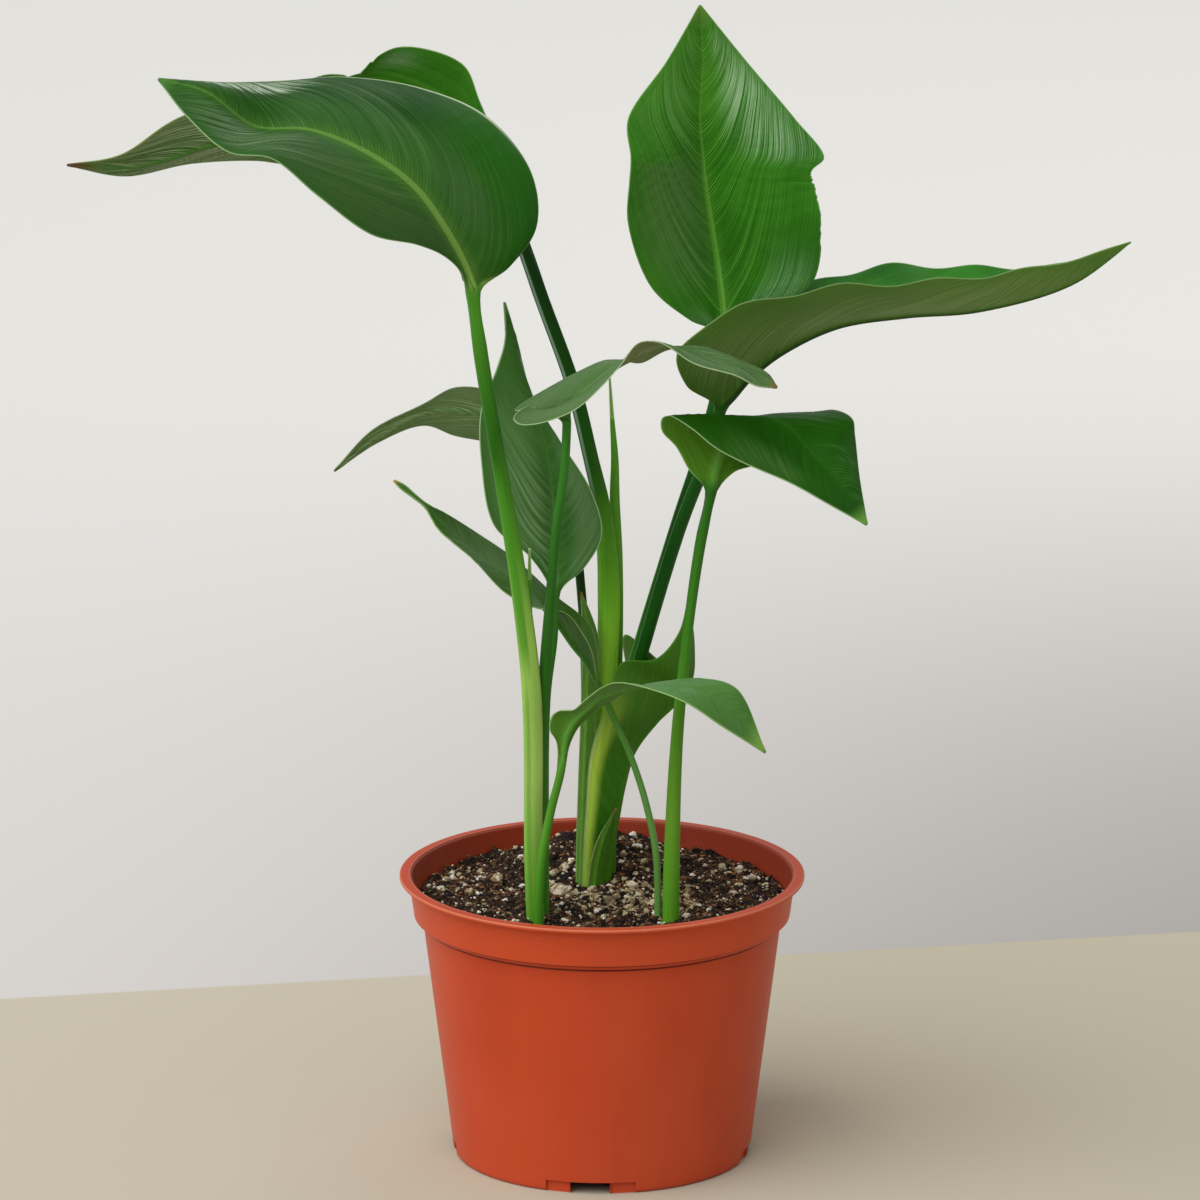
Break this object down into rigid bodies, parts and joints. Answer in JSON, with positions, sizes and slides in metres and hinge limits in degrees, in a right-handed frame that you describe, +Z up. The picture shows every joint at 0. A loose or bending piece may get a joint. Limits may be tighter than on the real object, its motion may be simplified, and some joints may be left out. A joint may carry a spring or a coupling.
{
  "type": "potted bird of paradise",
  "caption": "Young bird of paradise plant: long-stalked paddle leaves growing in clumps from soil in a round, tapered plastic nursery pot with a stepped rim.",
  "frame": {"origin": "centre of the flat underside of the pot, in the plane that it stands on", "axes": "+Z up along the pot's axis, -Y towards the side that the picture shows, +X to the right as seen from that side"},
  "size_m": [0.4112, 0.1646, 0.4561],
  "materials": {
    "pot_plastic": "satin injection-moulded polypropylene, terracotta orange",
    "potting_mix": "damp dark peat mix with bark fibres and pale perlite grains",
    "leaf": "smooth waxy leaf with a light midrib, close side veins and a pale thin margin",
    "new_growth": "smooth pale yellow-green rolled leaf or sheath",
    "dry_sheath": "dry papery brown sheath"
  },
  "bodies": {
    "root": {"pot": "pot_plastic", "soil": "potting_mix", "leaf_upper_left": "leaf", "leaf_upper_back": "leaf", "leaf_top_right": "leaf", "leaf_long_right": "leaf", "leaf_mid_right": "leaf", "leaf_arched": "leaf", "leaf_upright": "leaf", "leaf_low_front": "leaf", "leaf_side_left": "leaf", "leaf_low_left": "leaf", "leaf_low_centre": "leaf", "spear_leaf": "new_growth", "young_spike": "new_growth", "centre_sheath": "new_growth", "dry_sheath": "dry_sheath"}
  },
  "joints": []
}
